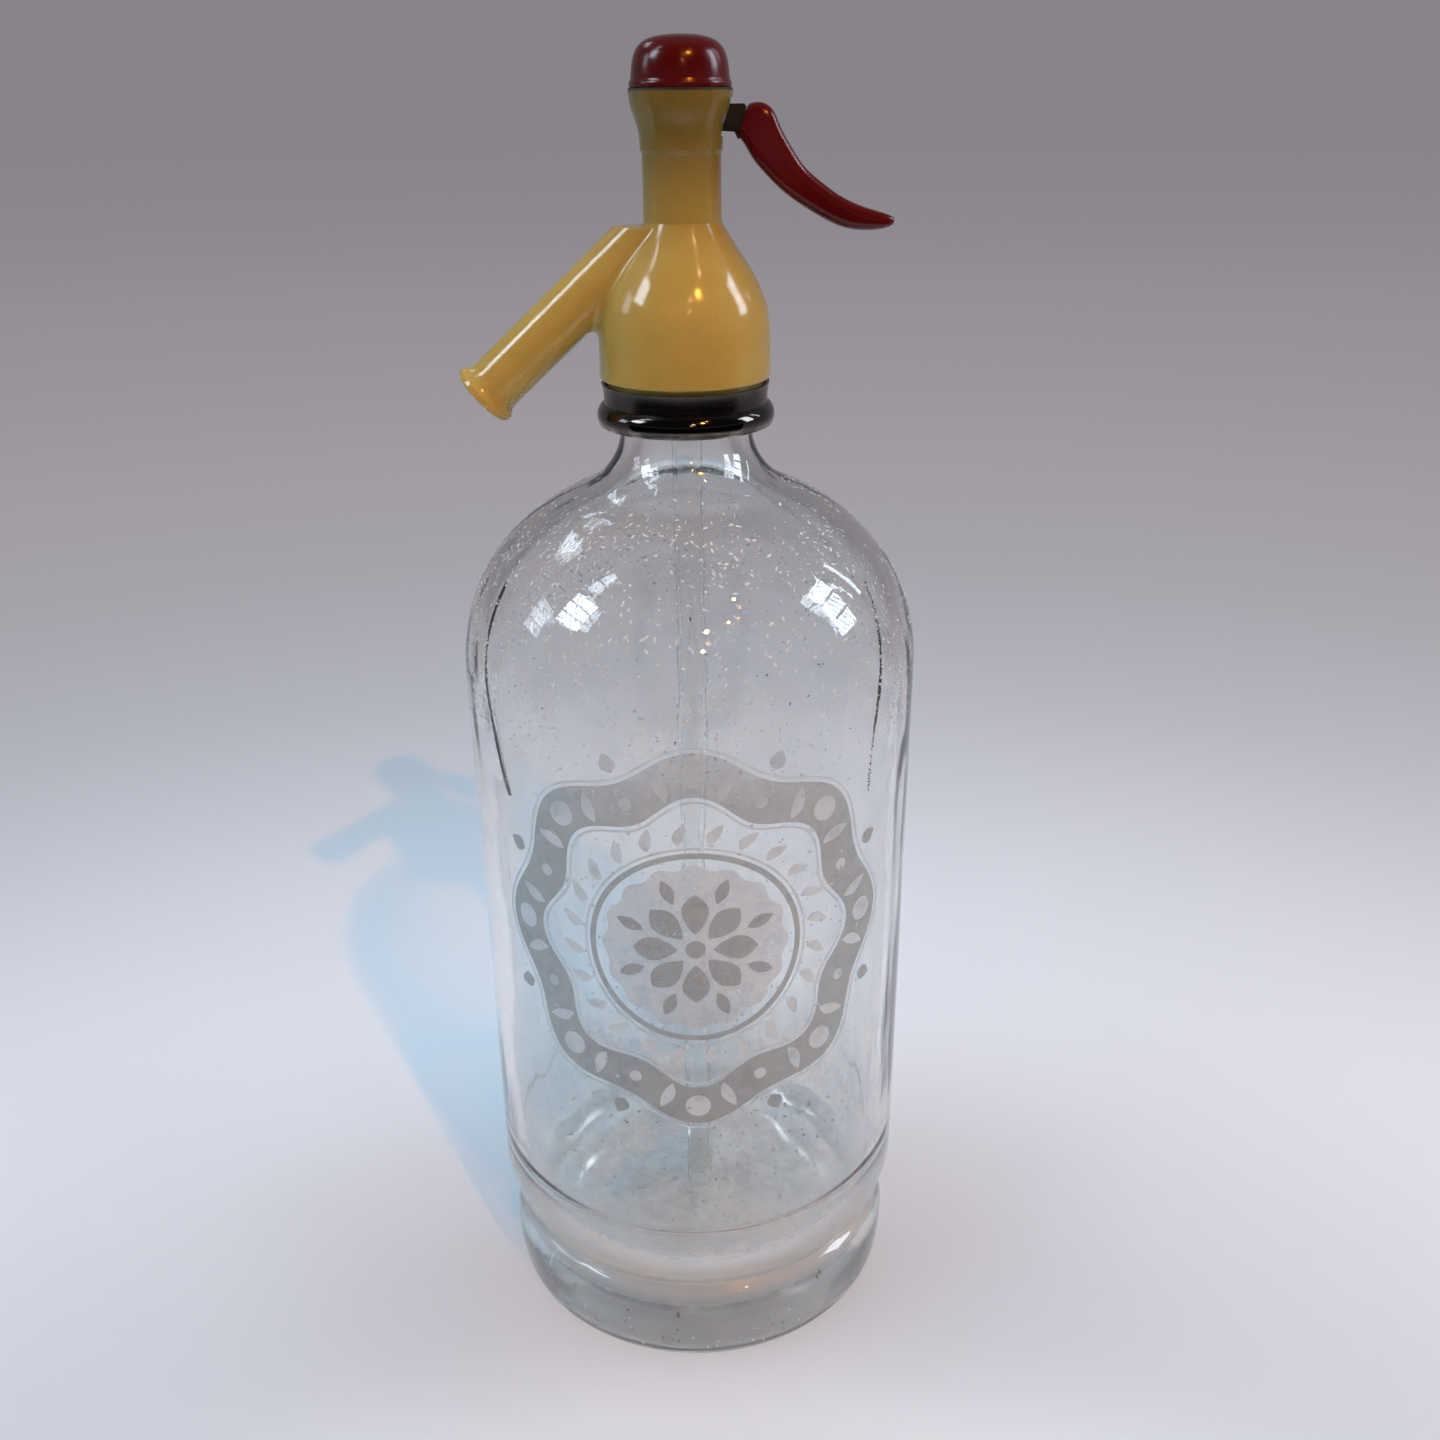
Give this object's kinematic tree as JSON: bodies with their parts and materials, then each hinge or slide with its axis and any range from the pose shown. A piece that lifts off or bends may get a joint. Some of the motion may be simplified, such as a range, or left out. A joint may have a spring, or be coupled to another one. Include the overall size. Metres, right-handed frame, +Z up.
{
  "type": "soda siphon",
  "caption": "Glass soda siphon with a screwed-on plastic head, sloping spout, spring-closed lift valve and a thumb lever.",
  "frame": {"origin": "centre of the foot's resting plane, on the bottle's axis", "axes": "+Z up along the bottle's axis; the spout points to -X and the lever to +X; the etched face of the bottle looks to -Y"},
  "size_m": [0.108, 0.108, 0.3129],
  "materials": {
    "clear_glass": "clear, thick, lightly scratched glass with a frosted etched face",
    "ivory_plastic": "aged ivory moulding, glossy, slightly translucent",
    "red_plastic": "dark red gloss moulding",
    "plated_ring": "worn nickel plate, brushed cup over a polished bead",
    "dark_metal": "blackened steel",
    "spring_steel": "drawn steel",
    "brass": "turned brass",
    "rubber": "black rubber"
  },
  "bodies": {
    "siphon": {"bottle": "clear_glass", "dip_tube": "clear_glass", "tube_bush": "rubber", "neck_washer": "rubber", "collar": "plated_ring", "split_ring_front": "brass", "split_ring_back": "brass", "valve_body": "brass", "head": "ivory_plastic", "cap": "red_plastic", "cap_washer": "rubber", "return_spring": "spring_steel", "lever_pin": "spring_steel"},
    "lever": {"lever_arm": "dark_metal", "lever_grip": "red_plastic"},
    "valve_spindle": {"spindle": "brass", "valve_washer": "rubber", "washer_screw": "brass", "piston_seal": "rubber", "spring_cup": "brass", "spindle_nut": "brass"}
  },
  "joints": [
    {"name": "lever_press", "type": "hinge", "parent": "siphon", "child": "lever", "pos_m": [0.0082, 0, 0.29707], "axis": [0, 1, 0], "range_deg": [0, 15], "stiffness_Nm_per_rad": 0.35, "springref_deg": -14.32},
    {"name": "spindle_lift", "type": "slide", "parent": "siphon", "child": "valve_spindle", "axis": [0, 0, 1], "range_m": [0, 0.0021], "deforming": ["return_spring"]}
  ],
  "couplings": [
    {"joint": "lever_press", "follows": "spindle_lift", "rad_per_m": 124.66}
  ]
}
